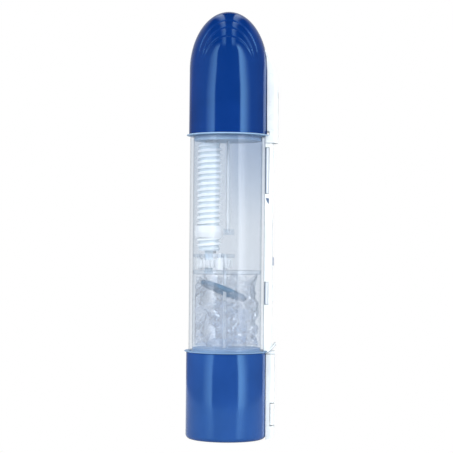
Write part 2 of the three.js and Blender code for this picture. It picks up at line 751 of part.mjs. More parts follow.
function baseSpine() {
  const top = BASE_TOP - RIM_HEIGHT - GAP;
  const outer = prism(spineOutline(BASE_SPINE_X, SPINE_HALF_WIDTH), 0, top)
    .intersect(sideways(baseSpineSide(), 10));
  const notch = block(21.2, 30, -10, 10, FLAP_BOTTOM - 0.4, FLAP_TOP + 0.4);
  return outer.subtract(spineChannel(BASE_SPINE_X, 1.1, 1.8, top + 1))
    .subtract(notch).subtract(rod(BASE_R + GAP, -1, HEIGHT, BIG));
}

function chargeFlap() {
  const front = prism(spineOutline(BASE_SPINE_X, SPINE_HALF_WIDTH), FLAP_BOTTOM, FLAP_TOP)
    .intersect(block(21.5, 30, -10, 10, 0, HEIGHT));
  return front.subtract(block(10, 22.5, -3.3, 3.3, FLAP_BOTTOM - 1, FLAP_TOP + 1));
}

function chargeSocket() {
  const shell = block(19.8, 22.2, -1.9, 1.9, 9, 16);
  return shell.subtract(block(20.5, 23, -1.4, 1.4, 9.5, 15.5));
}

function barrelSpine() {
  const [bottom, top] = [BASE_TOP + GAP, CAP_SPINE_BOTTOM - GAP];
  const front = BARREL_SPINE_X - 3;
  const pastFront = BARREL_SPINE_X + 1;
  let spine = prism(spineOutline(BARREL_SPINE_X, SPINE_HALF_WIDTH), bottom, top)
    .subtract(spineChannel(BARREL_SPINE_X, SPINE_WALL, bottom - 1, top - 1.2))
    .subtract(rod(BARREL_R + GAP, 0, HEIGHT, BIG));
  for (const [low, high] of [LONG_BUTTON, SHORT_BUTTON]) {
    spine = spine.subtract(block(front, pastFront, -2.7, 2.7, low + 1, high - 1));
    spine = spine.subtract(block(10, 20.1, -10, 10, low, high));
  }
  const slot = block(front, pastFront, -1.9, 1.9, KNOB_BOTTOM - GAP,
    KNOB_BOTTOM + KNOB_LENGTH + KNOB_TRAVEL + GAP);
  return spine.subtract(slot).subtract(rodAlongX(1.3, front, pastFront, 0, LIGHT_Z));
}

function controlStrip() {
  return block(18.6, 18.9, -2.8, 2.8, 57, 142.4);
}

function tactileSwitch([low, high], halfHeight) {
  const middle = (low + high) / 2;
  return block(SWITCH_X, SWITCH_X + 0.3, -2, 2, middle - halfHeight, middle + halfHeight);
}

function speedSwitch() {
  const middle = KNOB_BOTTOM + (KNOB_LENGTH + KNOB_TRAVEL) / 2;
  return block(SWITCH_X, SWITCH_X + 0.8, -2.4, 2.4, middle - 5.5, middle + 5.5);
}

// The soft frame under a button: its rails fill the slots in the spine's flanks.
function buttonSeal([low, high]) {
  const edge = SPINE_HALF_WIDTH - 0.2;
  const frame = block(19.2, 19.8, -edge, edge, low + GAP, high - GAP)
    .subtract(block(19, 20, -3.2, 3.2, low + 1.6, high - 1.6));
  const rails = block(18.3, 19.8, -edge, edge, low + GAP, high - GAP)
    .subtract(block(18, 20, -3.2, 3.2, low, high));
  return frame.add(rails).subtract(rod(BARREL_R + 0.2, 0, HEIGHT, BIG));
}

function button([low, high]) {
  const flange = block(20.3, 20.9, -3.2, 3.2, low + 0.7, high - 0.7);
  const head = block(20.3, 22.5, -2.4, 2.4, low + 1.3, high - 1.3);
  return flange.add(head);
}

function speedKnob() {
  const flange = block(20.3, 20.9, -2.6, 2.6, KNOB_BOTTOM - 1, KNOB_BOTTOM + KNOB_LENGTH + 1);
  return flange.add(block(20.3, 22.8, -1.6, 1.6, KNOB_BOTTOM, KNOB_BOTTOM + KNOB_LENGTH));
}

function statusLight() {
  return rodAlongX(1, 20.2, 22.2, 0, LIGHT_Z);
}

function wireLoom() {
  const route = new THREE.CatmullRomCurve3([
    [14.6, 0, 25.4], [16.4, 0, 26], [18.6, 0, 26], [20.2, 0, 26.6], [20.9, 0, 28.6],
    [20.9, 0, 34], [20.6, 0, 40], [20.35, 0, 45], [20, 0, 49], [19.6, 0, 55],
  ].map((point) => new THREE.Vector3(...point)));
  const section = new THREE.Shape().absarc(0, 0, 0.7, 0, 2 * Math.PI);
  const options = { steps: 18, extrudePath: route, curveSegments: 3, bevelEnabled: false };
  return toSolid(new THREE.ExtrudeGeometry(section, options));
}

// ---- assembly ----

const controller = new THREE.Group();

function add(name, solid, material) {
  const mesh = new THREE.Mesh(toGeometry(solid), material);
  mesh.name = name;
  controller.add(mesh);
}

add('foot_pad', footPad(), RUBBER);
add('base_cup', baseCup(), BLUE);
add('battery_door', batteryDoor(), BLUE);
add('door_pin', doorPin(), STEEL);
add('battery_cell', batteryCell(), STEEL);
add('contact_spring', contactSpring(), BRASS);
add('contact_plate', contactPlate(), BRASS);
add('drive_motor', driveMotor(), STEEL);
add('motor_end_bell', motorEndBell(), WHITE);
add('gearbox_plate', gearboxPlate(), WHITE);
BOSS_PLACES.forEach(([x, y], i) => {
  add(`plate_screw_${i + 1}`, screwFastener(x, y, PLATE_TOP + GAP, 1.7, 0.9, 8), STEEL);
});
motorScrewPlaces().forEach(([x, y], i) => {
  add(`motor_screw_${i + 1}`, screwFastener(x, y, PLATE_TOP + GAP, 1.1, 0.5, 4), STEEL);
});
add('motor_pinion', motorPinion(), BRASS);
add('shaft_wheel', shaftWheel(), WHITE);
add('chamber_floor', chamberFloor(), BLUE_GREY);

add('clear_barrel', clearBarrel(), CLEAR);
add('drive_shaft', driveShaft(), WHITE);
add('bulkhead', bulkhead(), CLEAR);
add('bearing_plate', bearingPlate(), CLEAR);
SPACER_PLACES.forEach((place, i) => {
  add(`plate_spacer_${i + 1}`, spacer(place), WHITE);
});
add('top_pinion', topPinion(), WHITE);
add('screw_gear', screwGear(), WHITE);
add('lead_screw', leadScrew(), WHITE);
add('drive_nut', driveNut(), WHITE);
add('carriage_arm', carriageArm(), CLEAR);
add('guide_rod', guideRod(), STEEL);
add('piston_rod', pistonRod(), WHITE);
add('piston', piston(), WHITE);
add('piston_ring', pistonRing(), RUBBER);
add('film_wrap', filmWrap(), FILM);
add('spare_ring', spareRing(), SILICONE);

add('cylinder_flange', cylinderFlange(), BLUE_GREY);
add('cap_gasket', capGasket(), SILICONE);
add('air_cylinder', airCylinder(), CLEAR);
add('nose_cone', noseCone(), WHITE);
add('filter_holder', filterHolder(), WHITE);
add('membrane_filter', membraneFilter(), WHITE);
add('pipette_adapter', pipetteAdapter(), SILICONE);
add('dome_cap', domeCap(), BLUE);

add('cap_spine', capSpine(), PALE);
add('barrel_spine', barrelSpine(), PALE);
add('base_spine', baseSpine(), PALE);
add('charge_flap', chargeFlap(), PALE);
add('charge_socket', chargeSocket(), STEEL);
add('control_strip', controlStrip(), CIRCUIT);
add('aspirate_switch', tactileSwitch(LONG_BUTTON, 3), STEEL);
add('dispense_switch', tactileSwitch(SHORT_BUTTON, 2.5), STEEL);
add('speed_switch', speedSwitch(), RUBBER);
add('aspirate_seal', buttonSeal(LONG_BUTTON), SLATE);
add('dispense_seal', buttonSeal(SHORT_BUTTON), SLATE);
add('aspirate_button', button(LONG_BUTTON), PALE);
add('dispense_button', button(SHORT_BUTTON), PALE);
add('speed_knob', speedKnob(), SLATE);
add('status_light', statusLight(), CLEAR);
add('wire_loom', wireLoom(), RUBBER);

export default controller;
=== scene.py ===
"""Looks for an upright motorized pipette controller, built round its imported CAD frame.

Everything is in metres, +Z up, with the origin under the middle of the foot pad. Sizes come from
the frame's boxes. A turned piece is a profile of (radius, z) points.
"""

import json
import math

import bmesh
import bpy
import numpy as np
from mathutils import Matrix, Vector, noise


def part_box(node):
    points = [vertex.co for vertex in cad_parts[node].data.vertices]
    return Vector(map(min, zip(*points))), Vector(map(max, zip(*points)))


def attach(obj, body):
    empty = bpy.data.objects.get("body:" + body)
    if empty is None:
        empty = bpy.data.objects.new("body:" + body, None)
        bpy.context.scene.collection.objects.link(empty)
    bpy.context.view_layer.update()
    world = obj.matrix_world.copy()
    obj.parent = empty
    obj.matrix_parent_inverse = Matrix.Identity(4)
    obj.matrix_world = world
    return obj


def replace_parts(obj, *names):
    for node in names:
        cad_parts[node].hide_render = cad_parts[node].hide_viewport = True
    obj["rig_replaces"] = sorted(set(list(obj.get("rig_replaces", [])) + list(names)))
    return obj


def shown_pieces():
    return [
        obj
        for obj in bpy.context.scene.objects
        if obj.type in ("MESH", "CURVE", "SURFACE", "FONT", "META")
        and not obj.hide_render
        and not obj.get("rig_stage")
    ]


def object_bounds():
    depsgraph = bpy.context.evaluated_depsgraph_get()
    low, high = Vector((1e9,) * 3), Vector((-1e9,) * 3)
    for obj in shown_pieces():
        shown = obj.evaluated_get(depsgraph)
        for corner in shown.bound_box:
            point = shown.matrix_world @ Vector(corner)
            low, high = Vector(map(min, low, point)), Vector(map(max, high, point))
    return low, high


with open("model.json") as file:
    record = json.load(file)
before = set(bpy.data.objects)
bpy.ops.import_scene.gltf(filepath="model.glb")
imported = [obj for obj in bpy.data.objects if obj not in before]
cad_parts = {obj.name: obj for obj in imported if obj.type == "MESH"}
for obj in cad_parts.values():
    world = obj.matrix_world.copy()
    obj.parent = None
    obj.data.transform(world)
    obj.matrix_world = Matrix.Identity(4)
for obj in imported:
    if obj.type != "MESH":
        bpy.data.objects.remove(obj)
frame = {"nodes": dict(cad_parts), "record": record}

MM = 0.001
CAD_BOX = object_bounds()
RIM_HEIGHT = 0.7 * MM
SLOT_OF = {s["node"]: s["material_slot"] for s in frame["record"]["subparts"]}
BODY_OF = {node: body for body, nodes in frame["record"]["behaviour"]["bodies"].items()
           for node in nodes}


# ---- materials ----

def nodes_of(name):
    """A new material with its nodes, its Principled shader and its output."""
    material = bpy.data.materials.new(name)
    material.use_nodes = True
    tree = material.node_tree
    return material, tree, tree.nodes["Principled BSDF"], tree.nodes["Material Output"]


def noise_texture(tree, scale, detail=3.0, stretch=(1, 1, 1)):
    """Noise in the row frame, with its pattern scale per metre."""
    place = tree.nodes.new("ShaderNodeTexCoord")
    mapping = tree.nodes.new("ShaderNodeMapping")
    mapping.inputs["Scale"].default_value = stretch
    texture = tree.nodes.new("ShaderNodeTexNoise")
    texture.inputs["Scale"].default_value = scale
    texture.inputs["Detail"].default_value = detail
    tree.links.new(place.outputs["Object"], mapping.inputs["Vector"])
    tree.links.new(mapping.outputs["Vector"], texture.inputs["Vector"])
    return texture.outputs["Fac"]


def between(tree, factor, low, high):
    """The factor 0.3 to 0.7 mapped to low to high, as a number."""
    ramp = tree.nodes.new("ShaderNodeMapRange")
    ramp.inputs["From Min"].default_value = 0.3
    ramp.inputs["From Max"].default_value = 0.7
    ramp.inputs["To Min"].default_value = low
    ramp.inputs["To Max"].default_value = high
    tree.links.new(factor, ramp.inputs["Value"])
    return ramp.outputs["Result"]


def blended(tree, factor, first, second):
    mix = tree.nodes.new("ShaderNodeMix")
    mix.data_type = "RGBA"
    mix.inputs[6].default_value = (*first, 1)
    mix.inputs[7].default_value = (*second, 1)
    tree.links.new(factor, mix.inputs[0])
    return mix.outputs[2]


def bumped(tree, shader, height, strength, distance):
    bump = tree.nodes.new("ShaderNodeBump")
    bump.inputs["Strength"].default_value = strength
    bump.inputs["Distance"].default_value = distance
    tree.links.new(height, bump.inputs["Height"])
    tree.links.new(bump.outputs["Normal"], shader.inputs["Normal"])


def moulded(name, colour, roughness, coat=0.0, grain=1500, depth=0.02, metallic=0.0, stretch=(1, 1, 1)):
    """A moulded or machined surface: slight colour drift, uneven gloss and a fine grain."""
    material, tree, shader, _ = nodes_of(name)
    drift = noise_texture(tree, 45, stretch=stretch)
    darker = tuple(0.86 * c for c in colour)
    lighter = tuple(min(1.0, 1.08 * c + 0.002) for c in colour)
    colours = blended(tree, between(tree, drift, 0, 1), darker, lighter)
    tree.links.new(colours, shader.inputs["Base Color"])
    wear = noise_texture(tree, 260, 5, stretch)
    gloss = between(tree, wear, 0.8 * roughness, 1.2 * roughness)
    tree.links.new(gloss, shader.inputs["Roughness"])
    shader.inputs["Metallic"].default_value = metallic
    shader.inputs["Coat Weight"].default_value = coat
    shader.inputs["Coat Roughness"].default_value = 0.05
    bumped(tree, shader, noise_texture(tree, grain, 2, stretch), depth, 0.2 * MM)
    return material


def glossy_blue(name, colour, roughness):
    """Deep blue shell plastic, whose gloss is tinted by the pigment in it except at grazing angles."""
    material = moulded(name, colour, roughness, depth=0.01)
    shader = material.node_tree.nodes["Principled BSDF"]
    shader.inputs["Specular IOR Level"].default_value = 1.0
    shader.inputs["Specular Tint"].default_value = (0.3, 0.66, 1.0, 1)
    return material


def placed(tree):
    """Where a point is in the row frame, as its X, Y and Z in metres."""
    place = tree.nodes.new("ShaderNodeTexCoord")
    split = tree.nodes.new("ShaderNodeSeparateXYZ")
    tree.links.new(place.outputs["Object"], split.inputs["Vector"])
    return split.outputs["X"], split.outputs["Y"], split.outputs["Z"]


def operated(tree, operation, first, second=None, third=None):
    node = tree.nodes.new("ShaderNodeMath")
    node.operation = operation
    for place, value in enumerate((first, second, third)):
        if isinstance(value, (int, float)):
            node.inputs[place].default_value = value
        elif value is not None:
            tree.links.new(value, node.inputs[place])
    return node.outputs["Value"]


def stepped(tree, value, low, high):
    """0 below low and 1 above high, eased."""
    node = tree.nodes.new("ShaderNodeMapRange")
    node.interpolation_type = "SMOOTHSTEP"
    node.inputs["From Min"].default_value = low
    node.inputs["From Max"].default_value = high
    tree.links.new(value, node.inputs["Value"])
    return node.outputs["Result"]


def flange_plastic():
    """Blue-grey plastic that pales towards the lower edge of the barrel's plug: painted light on its
    underside.
    """
    material = moulded("flange_blue", (0.2, 0.34, 0.54), 0.35, depth=0.03)
    tree = material.node_tree
    _, _, height = placed(tree)
    # Painted light: a paler colour on the plug's downward-facing underside.
    paler = stepped(tree, height, 146.9 * MM, 145.0 * MM)
    colour = blended(tree, paler, (0.17, 0.29, 0.46), (0.42, 0.58, 0.74))
    tree.links.new(colour, tree.nodes["Principled BSDF"].inputs["Base Color"])
    return material


def seal_elastomer():
    """Soft seal: slate-grey against the barrel, paler where it is skinned on the spine's flank."""
    material = moulded("seal_soft", (0.4, 0.45, 0.55), 0.65, grain=2600, depth=0.12)
    tree = material.node_tree
    along, _, _ = placed(tree)
    colour = blended(tree, stepped(tree, along, 18.6 * MM, 18.95 * MM), (0.2, 0.24, 0.32), (0.72, 0.78, 0.86))
    tree.links.new(colour, tree.nodes["Principled BSDF"].inputs["Base Color"])
    return material


def thread_plastic():
    """White acetal with a grey-blue painted shade in the roots of the thread."""
    material = moulded("thread_acetal", (0.95, 0.96, 0.95), 0.35, depth=0.02)
    tree = material.node_tree
    low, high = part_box("screw_gear")
    along, across, _ = placed(tree)
    x = operated(tree, "SUBTRACT", along, (low.x + high.x) / 2)
    y = operated(tree, "SUBTRACT", across, (low.y + high.y) / 2)
    far = operated(tree, "SQRT", operated(tree, "MULTIPLY_ADD", x, x, operated(tree, "MULTIPLY", y, y)))
    crest = stepped(tree, far, 5.0 * MM, 5.7 * MM)
    # Painted shade: grey-blue in the thread's roots, white on its crests.
    colour = blended(tree, crest, (0.7, 0.77, 0.81), (0.97, 0.98, 0.97))
    tree.links.new(colour, tree.nodes["Principled BSDF"].inputs["Base Color"])
    return material


def see_through(name, tint, gloss, roughness, veil=0.0, mirrored=0.025, ripple=0.04,
                ripple_scale=90, cap_shade_tint=None):
    """Thin clear plastic: light passes straight through, tinted, but for a mirrored share.

    veil is a share of pale diffuse haze. The mirrored share grows towards grazing angles. Where a
    darker top tint is given, the tint runs to it up the barrel, and most of all on the spine's side:
    painted shade from the cap.
    """
    material, tree, shader, output = nodes_of(name)
    shader.inputs["Base Color"].default_value = (*gloss, 1)
    shader.inputs["Roughness"].default_value = 0.4
    shader.inputs["Specular IOR Level"].default_value = 0.0
    mirror = tree.nodes.new("ShaderNodeBsdfGlossy")
    mirror.inputs["Color"].default_value = (0.95, 0.97, 1.0, 1)
    mirror.inputs["Roughness"].default_value = roughness
    bumped(tree, mirror, noise_texture(tree, ripple_scale, 4), ripple, 0.5 * MM)
    clear = tree.nodes.new("ShaderNodeBsdfTransparent")
    clear.inputs["Color"].default_value = (*tint, 1)
    if cap_shade_tint:
        along, _, height = placed(tree)
        # Painted shade: the tint darkens up the barrel towards the cap, most of all on the spine's side.
        upper = stepped(tree, height, 95 * MM, 152 * MM)
        spine_side = operated(tree, "MULTIPLY_ADD", stepped(tree, along, -4 * MM, 5 * MM), 0.7, 0.3)
        colour = blended(tree, operated(tree, "MULTIPLY", upper, spine_side), tint, cap_shade_tint)
        tree.links.new(colour, clear.inputs["Color"])
    hazy = tree.nodes.new("ShaderNodeMixShader")
    hazy.inputs["Fac"].default_value = veil
    tree.links.new(clear.outputs["BSDF"], hazy.inputs[1])
    tree.links.new(shader.outputs["BSDF"], hazy.inputs[2])
    facing = tree.nodes.new("ShaderNodeLayerWeight")
    facing.inputs["Blend"].default_value = 0.5
    steep = tree.nodes.new("ShaderNodeMath")
    steep.operation = "POWER"
    steep.inputs[1].default_value = 8
    share = tree.nodes.new("ShaderNodeMath")
    share.operation = "MULTIPLY_ADD"
    share.inputs[1].default_value = 0.85
    share.inputs[2].default_value = mirrored
    tree.links.new(facing.outputs["Facing"], steep.inputs[0])
    tree.links.new(steep.outputs["Value"], share.inputs[0])
    shiny = tree.nodes.new("ShaderNodeMixShader")
    tree.links.new(share.outputs["Value"], shiny.inputs["Fac"])
    tree.links.new(hazy.outputs["Shader"], shiny.inputs[1])
    tree.links.new(mirror.outputs["BSDF"], shiny.inputs[2])
    unshaded = tree.nodes.new("ShaderNodeBsdfTransparent")
    unshaded.inputs["Color"].default_value = (0.97, 0.98, 1.0, 1)
    path = tree.nodes.new("ShaderNodeLightPath")
    through = tree.nodes.new("ShaderNodeMixShader")
    tree.links.new(path.outputs["Is Shadow Ray"], through.inputs["Fac"])
    tree.links.new(shiny.outputs["Shader"], through.inputs[1])
    tree.links.new(unshaded.outputs["BSDF"], through.inputs[2])
    tree.links.new(through.outputs["Shader"], output.inputs["Surface"])
    return material


def circuit_board():
    """Green solder mask with a darker pattern of tracks under it."""
    material, tree, shader, _ = nodes_of("circuit")
    place = tree.nodes.new("ShaderNodeTexCoord")
    bricks = tree.nodes.new("ShaderNodeTexBrick")
    bricks.inputs["Scale"].default_value = 420
    bricks.inputs["Color1"].default_value = (0.01, 0.09, 0.045, 1)
    bricks.inputs["Color2"].default_value = (0.012, 0.13, 0.06, 1)
    bricks.inputs["Mortar"].default_value = (0.03, 0.2, 0.09, 1)
    tree.links.new(place.outputs["Object"], bricks.inputs["Vector"])
    tree.links.new(bricks.outputs["Color"], shader.inputs["Base Color"])
    shader.inputs["Roughness"].default_value = 0.35
    return material


MATERIALS = {
    "blue_shell": glossy_blue("blue_shell", (0.002, 0.031, 0.19), 0.08),
    # The base's blue is a lighter copy of the cap's blue: painted light on the base.
    "lit_base_blue": glossy_blue("lit_base_blue", (0.014, 0.066, 0.28), 0.11),
    "clear_plastic": see_through("clear_plastic", (0.93, 0.95, 0.97), (0.85, 0.9, 0.95), 0.06,
                                 veil=0.03),
    # The barrel's darker top tint is painted shade from the cap.
    "barrel_plastic": see_through("barrel_plastic", (0.905, 0.925, 0.95), (0.85, 0.9, 0.95), 0.05,
                                  veil=0.05, cap_shade_tint=(0.76, 0.81, 0.88)),
    "pale_shell": moulded("pale_shell", (0.86, 0.92, 0.97), 0.3, coat=0.2),
    "white_acetal": moulded("white_acetal", (0.92, 0.93, 0.92), 0.35, depth=0.03),
    "blue_grey": moulded("blue_grey", (0.2, 0.34, 0.54), 0.35, depth=0.03),
    "flange_blue": flange_plastic(),
    # Pale blue painted highlight for the cap's rim lip.
    "lip_highlight_blue": moulded("lip_highlight_blue", (0.36, 0.55, 0.78), 0.3, depth=0.02),
    "thread_acetal": thread_plastic(),
    "seal_soft": seal_elastomer(),
    # Dark slate for the arrow's inlay, and for the painted shadow line under the spine's collar band.
    "dark_inlay_and_shadow_line": moulded("dark_inlay_and_shadow_line", (0.12, 0.17, 0.27), 0.5, depth=0.05),
    "slate_soft": moulded("slate_soft", (0.4, 0.45, 0.55), 0.65, grain=2600, depth=0.12),
    "black_rubber": moulded("black_rubber", (0.02, 0.02, 0.022), 0.7, grain=2200, depth=0.15),
    "silicone": moulded("silicone", (0.07, 0.18, 0.29), 0.4, coat=0.2, grain=900, depth=0.05),
    "steel": moulded("steel", (0.62, 0.63, 0.65), 0.28, metallic=1.0, stretch=(1, 1, 0.06)),
    "brass": moulded("brass", (0.72, 0.54, 0.25), 0.32, metallic=1.0),
    "film": see_through("film", (0.94, 0.95, 0.965), (0.85, 0.9, 0.97), 0.07, veil=0.06,
                        mirrored=0.24, ripple=0.1, ripple_scale=160),
    "circuit": circuit_board(),
    "cell_label": moulded("cell_label", (0.05, 0.09, 0.13), 0.3, coat=0.4),
}


LOOK_OF = {"cylinder_flange": "flange_blue", "aspirate_seal": "seal_soft", "dispense_seal": "seal_soft",
           "battery_door": "lit_base_blue"}


# ---- making pieces ----

def make(name, points, faces, body, slot, *replaced, look=None):
    """A piece with its mesh in place, smooth but for its sharp edges, riding on a body."""
    mesh = bpy.data.meshes.new(name)
    mesh.from_pydata([tuple(p) for p in points], [], faces)
    mesh.validate()
    piece = bpy.data.objects.new(name, mesh)
    bpy.context.scene.collection.objects.link(piece)
    face_outwards(piece)
    return finished(piece, body, slot, *replaced, look=look)


def face_outwards(piece):
    form = bmesh.new()
    form.from_mesh(piece.data)
    bmesh.ops.recalc_face_normals(form, faces=form.faces)
    form.to_mesh(piece.data)
    form.free()


def finished(piece, body, slot, *replaced, sharp=40, look=None):
    piece.data.materials.clear()
    piece.data.materials.append(MATERIALS[look or slot])
    piece.data.shade_smooth()
    piece.data.set_sharp_from_angle(angle=math.radians(sharp))
    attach(piece, body)
    if replaced:
        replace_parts(piece, *replaced)
    return piece


def softened(profile, radius, steps=4):
    """The profile with each corner off the axis rounded by about the radius."""
    closed = profile[0] == profile[-1]
    points = [Vector(p) for p in (profile[:-1] if closed else profile)]
    out = []
    for i, corner in enumerate(points):
        at_end = not closed and i in (0, len(points) - 1)
        if at_end or corner.x == 0:
            out.append(tuple(corner))
            continue
        before, after = points[i - 1], points[(i + 1) % len(points)]
        reach_back = min(radius, 0.45 * (before - corner).length)
        reach_on = min(radius, 0.45 * (after - corner).length)
        start = corner + (before - corner).normalized() * reach_back
        end = corner + (after - corner).normalized() * reach_on
        for k in range(steps + 1):
            t = k / steps
            out.append(tuple(start * (1 - t) ** 2 + corner * 2 * t * (1 - t) + end * t * t))
    return out + [out[0]] if closed else out


def revolve(profile, x=0.0, y=0.0, segments=96):
    """Points and faces of a profile turned about the vertical axis through (x, y)."""
    closed = profile[0] == profile[-1]
    rows = profile[:-1] if closed else profile
    points, first = [], []
    for r, z in rows:
        first.append(len(points))
        count = 1 if r == 0 else segments
        for k in range(count):
            angle = 2 * math.pi * k / segments
            points.append((x + r * math.cos(angle), y + r * math.sin(angle), z))
    faces = []
    last = len(rows) if closed else len(rows) - 1
    for i in range(last):
        j = (i + 1) % len(rows)
        for k in range(segments):
            n = (k + 1) % segments
            low = [first[i]] if rows[i][0] == 0 else [first[i] + k, first[i] + n]
            high = [first[j]] if rows[j][0] == 0 else [first[j] + n, first[j] + k]
            if len(low) + len(high) > 2:
                faces.append(low + high)
    return points, faces


def turned(name, profile, node, x=0.0, y=0.0, segments=96, radius=0.25 * MM, look=None):
    """A turned piece that stands for a CAD node, with its corners rounded."""
    points, faces = revolve(softened(profile, radius), x, y, segments)
    return make(name, points, faces, BODY_OF[node], SLOT_OF[node], node, look=look)


def rod_like(node, name, chamfer=0.3 * MM, segments=40):
    """A round bar in the box of a CAD node, with rounded ends."""
    low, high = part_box(node)
    radius = (high.x - low.x) / 2
    x, y = (low.x + high.x) / 2, (low.y + high.y) / 2
    profile = [(0, low.z), (radius, low.z), (radius, high.z), (0, high.z)]
    return turned(name, profile, node, x, y, segments, chamfer)


def applied(piece):
    """The piece with its modifiers made part of its mesh."""
    graph = bpy.context.evaluated_depsgraph_get()
    mesh = bpy.data.meshes.new_from_object(piece.evaluated_get(graph))
    piece.modifiers.clear()
    piece.data = mesh
    return piece


def carve(piece, points, faces, operation="DIFFERENCE"):
    """Cuts a closed form out of a piece, or keeps only what is inside it."""
    mesh = bpy.data.meshes.new("cutter")
    mesh.from_pydata([tuple(p) for p in points], [], faces)
    cutter = bpy.data.objects.new("cutter", mesh)
    bpy.context.scene.collection.objects.link(cutter)
    face_outwards(cutter)
    cut = piece.modifiers.new("cut", "BOOLEAN")
    cut.operation, cut.solver, cut.object = operation, "EXACT", cutter
    applied(piece)
    bpy.data.objects.remove(cutter)
    return piece


def box_form(low, high):
    points = [(x, y, z) for z in (low[2], high[2]) for y in (low[1], high[1])
              for x in (low[0], high[0])]
    faces = [(0, 1, 3, 2), (4, 6, 7, 5), (0, 4, 5, 1), (2, 3, 7, 6), (0, 2, 6, 4), (1, 5, 7, 3)]
    return points, faces


def refined(node, bevel=0.15 * MM, segments=2, sharp=40):
    """A CAD node's own form with its triangles joined and its edges broken."""
    source = frame["nodes"][node].data
    form = bmesh.new()
    form.from_mesh(source)
    bmesh.ops.remove_doubles(form, verts=form.verts, dist=0.002 * MM)
    bmesh.ops.dissolve_limit(form, angle_limit=math.radians(0.5), verts=form.verts,
                             edges=form.edges)
    corners = [e for e in form.edges
               if len(e.link_faces) == 2 and e.calc_face_angle(0) > math.radians(sharp)]
    bmesh.ops.bevel(form, geom=corners, offset=bevel, segments=segments, profile=0.6,
                    affect="EDGES", clamp_overlap=True)
    mesh = bpy.data.meshes.new(node + "_fine")
    form.to_mesh(mesh)
    form.free()
    piece = bpy.data.objects.new(node + "_fine", mesh)
    bpy.context.scene.collection.objects.link(piece)
    finished(piece, BODY_OF[node], SLOT_OF[node], node, sharp=sharp, look=LOOK_OF.get(node))
    weighted = piece.modifiers.new("normals", "WEIGHTED_NORMAL")
    weighted.keep_sharp = True
    return piece


def smooth_step(value):
    value = min(1.0, max(0.0, value))
    return value * value * (3 - 2 * value)


# ---- cap ----

def dome_outline(radius, height, spring, count):
    """The quarter ellipse from the spring line up to the axis."""
    arc = []
    for i in range(count + 1):
        angle = math.pi / 2 * i / count
        arc.append((radius * math.cos(angle) if i < count else 0.0,
                    spring + height * math.sin(angle)))
    return arc


def arch_depth(x, z):
    """How deep the nested scales are at a point of the dome's front, seen from the front.

    Each scale is tucked under the one outside it: it starts with a step down, under a fine
    groove, and rises back to the dome's own surface over its width.
    """
    depth = 0.0
    for spring, rise, half in ((180, 22.6, 15.0), (180, 18.7, 12.8), (178, 16.2, 12.6)):
        q = math.hypot((x / MM + 0.4) / half, (z / MM - spring) / rise)
        inside = (1 - q) * half
        step = smooth_step((inside + 0.12) / 0.35)
        left = max(0.0, 1 - max(0.0, inside) / 4.2)
        depth += 0.46 * step * left ** 2 + 0.16 * math.exp(-(inside / 0.25) ** 2)
    fade = smooth_step((z / MM - 181) / 9)
    return depth * fade * MM


def cap_shell():
    low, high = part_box("dome_cap")
    radius, wall, dome = 19 * MM, 1.7 * MM, 28.5 * MM
    spring = high.z - dome
    inside = dome_outline(radius - wall, dome - wall, spring, 24)[::-1]
    step = 18.62 * MM
    foot = [(radius - wall, low.z), (step, low.z), (step, low.z - 0.3 * MM),
            (radius + 0.05 * MM, low.z - 0.3 * MM)]
    foot = softened([inside[-1], *foot, (radius, spring)], 0.1 * MM)[1:-1]
    outside = dome_outline(radius, dome, spring, 150)
    points, faces = revolve([*inside, *foot, *outside], segments=360)
    shaped = []
    for x, y, z in points:
        out = math.hypot(x / radius, max(0, z - spring) / dome * (1 if x or y else 0))
        on_skin = math.hypot(math.hypot(x, y) / radius, (z - spring) / dome) > 0.985
        if z > spring - 4 * MM and on_skin and out <= 1.2:
            share = smooth_step(abs(y) / (6 * MM))
            normal = Vector((x, y, (z - spring) * (radius / dome) ** 2)).normalized()
            x, y, z = Vector((x, y, z)) - normal * arch_depth(x, z) * share
        shaped.append((x, y, z))
    return make("cap_shell", shaped, faces, "cap", "blue_shell", "dome_cap")


def cap_lip():
    """The pale flared lip round the mouth of the cap, hanging just outside the flange. Its pale blue is a
    painted highlight along the rim.
    """
    low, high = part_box("dome_cap")
    step, edge, top = 18.62 * MM, high.x, low.z - 0.32 * MM
    profile = [(step, top - 0.65 * MM), (edge - 0.25 * MM, top - 0.65 * MM), (edge, top - 0.45 * MM),
               (edge, top - 0.25 * MM), (19.4 * MM, top), (step, top), (step, top - 0.65 * MM)]
    points, faces = revolve(softened(profile, 0.12 * MM, 2), segments=200)
    return make("cap_lip", points, faces, "cap", "blue_grey", look="lip_highlight_blue")


# ---- base ----

def wedge_form(half_angle, low, high):
    reach = 30 * MM
    side = (reach * math.sin(half_angle), reach * math.cos(half_angle))
    plan = [(0, 0), side, (-side[0], side[1])]
    points = [(x, y, z) for z in (low, high) for x, y in plan]
    return points, [(2, 1, 0), (3, 4, 5), (0, 1, 4, 3), (1, 2, 5, 4), (2, 0, 3, 5)]


def base_shell():
    low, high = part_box("base_cup")
    radius, bore = 19.5 * MM, 17.7 * MM
    foot_low, foot_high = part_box("foot_pad")
    pad = foot_high.x + 0.3 * MM
    profile = [(0, foot_high.z + 0.3 * MM), (pad, foot_high.z + 0.3 * MM), (pad, low.z)]
    for i in range(9):
        angle = math.pi / 2 * i / 8
        profile.append((radius - 2.2 * MM * (1 - math.sin(angle)),
                        low.z + 2.2 * MM * (1 - math.cos(angle))))
    profile += [(radius, high.z - RIM_HEIGHT), (bore, high.z - RIM_HEIGHT), (bore, 3 * MM), (0, 3 * MM)]
    points, faces = revolve(softened(profile, 0.3 * MM, 3), segments=160)
    shell = make("base_shell", points, faces, "housing", "blue_shell", "base_cup", look="lit_base_blue")
    door_low, door_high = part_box("battery_door")
    half = math.radians(33) + 0.3 / 19.5
    carve(shell, *wedge_form(half, 6.9 * MM, door_high.z + 0.3 * MM))
    carve(shell, *box_form((-3.7 * MM, 12 * MM, 4.3 * MM), (3.7 * MM, 22 * MM, 7.2 * MM)))
    return finished(shell, "housing", "blue_shell", look="lit_base_blue")


